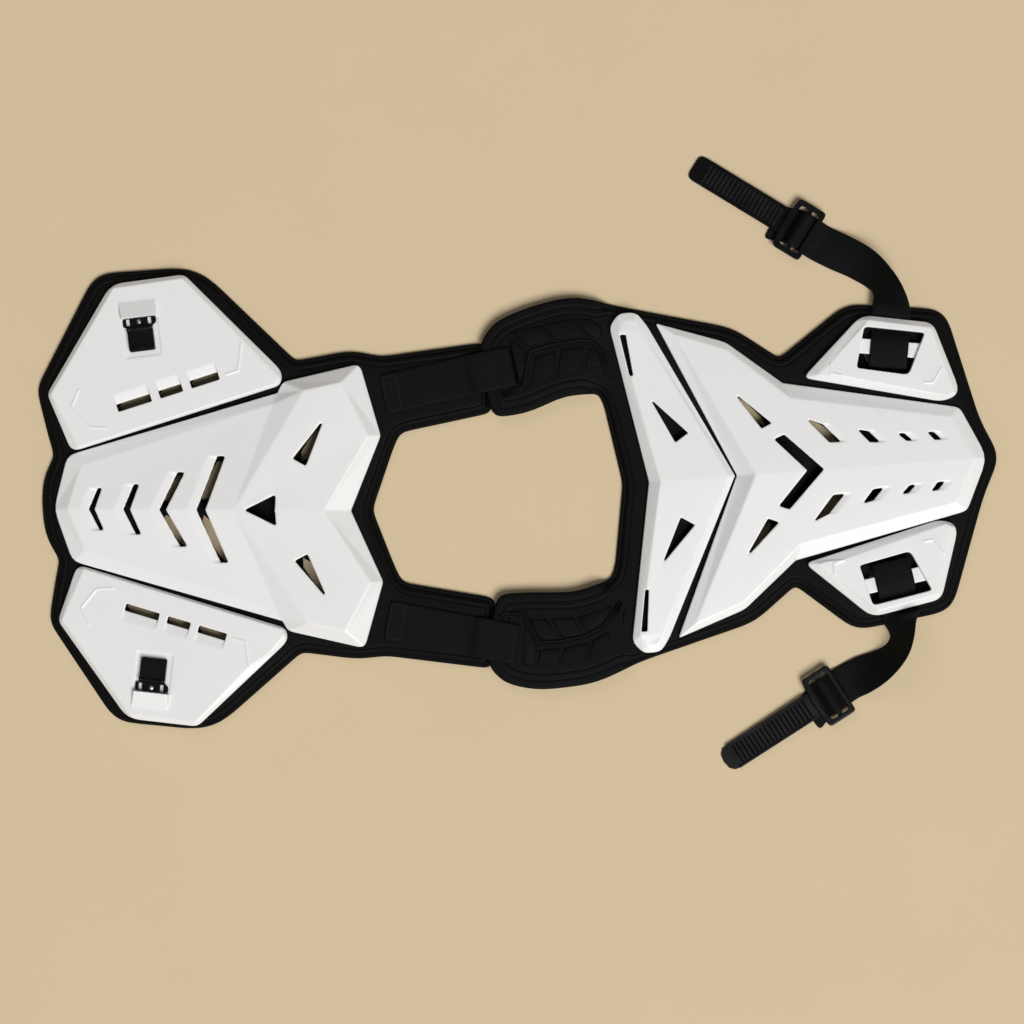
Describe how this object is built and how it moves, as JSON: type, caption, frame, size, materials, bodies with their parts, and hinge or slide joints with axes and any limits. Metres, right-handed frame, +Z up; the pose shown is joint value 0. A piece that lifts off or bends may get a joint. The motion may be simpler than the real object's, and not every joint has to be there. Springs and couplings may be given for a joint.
{
  "type": "motocross chest protector",
  "caption": "Motocross chest protector laid open: black foam front and back liners under white vented plates, moulded shoulder pads, webbing straps, ratchet buckles and ribbed ladder straps",
  "frame": {"origin": "on the surface below the centre of the whole protector's box", "axes": "+X from the waist end of the front panel to the tail of the back panel, +Y across the spine, +Z up from the surface it lies on"},
  "size_m": [0.9628, 0.6154, 0.0361],
  "materials": {
    "white_plate": "white satin moulded plastic",
    "foam": "black moulded foam with a knit face",
    "webbing": "black woven elastic webbing",
    "black_plastic": "black moulded plastic, half gloss",
    "steel": "plain steel"
  },
  "bodies": {
    "protector": {"chest_plate": "white_plate", "chest_wing_upper": "white_plate", "chest_wing_lower": "white_plate", "collar_plate": "white_plate", "back_plate": "white_plate", "side_plate_upper": "white_plate", "side_plate_lower": "white_plate", "front_liner": "foam", "back_liner": "foam", "shoulder_pad_upper": "foam", "shoulder_pad_lower": "foam", "shoulder_strap_upper": "webbing", "shoulder_strap_lower": "webbing", "side_strap_upper": "webbing", "side_strap_lower": "webbing", "strap_slider_upper": "black_plastic", "strap_slider_lower": "black_plastic", "ladder_strap_upper": "black_plastic", "ladder_strap_lower": "black_plastic", "buckle_base_upper": "black_plastic", "buckle_base_lower": "black_plastic", "buckle_pin_upper": "steel", "buckle_pin_lower": "steel", "buckle_rivet_upper": "steel", "buckle_rivet_lower": "steel"},
    "upper_lever": {"buckle_lever_upper": "black_plastic"},
    "lower_lever": {"buckle_lever_lower": "black_plastic"}
  },
  "joints": [
    {"name": "upper_lever_hinge", "type": "hinge", "parent": "protector", "child": "upper_lever", "pos_m": [-0.37654, 0.13297, 0.0216], "axis": [-0.9924, -0.1234, 0], "range_deg": [0, 40], "stiffness_Nm_per_rad": 0.01},
    {"name": "lower_lever_hinge", "type": "hinge", "parent": "protector", "child": "lower_lever", "pos_m": [-0.36439, -0.21694, 0.0216], "axis": [0.9939, -0.11, 0], "range_deg": [0, 40], "stiffness_Nm_per_rad": 0.01}
  ]
}
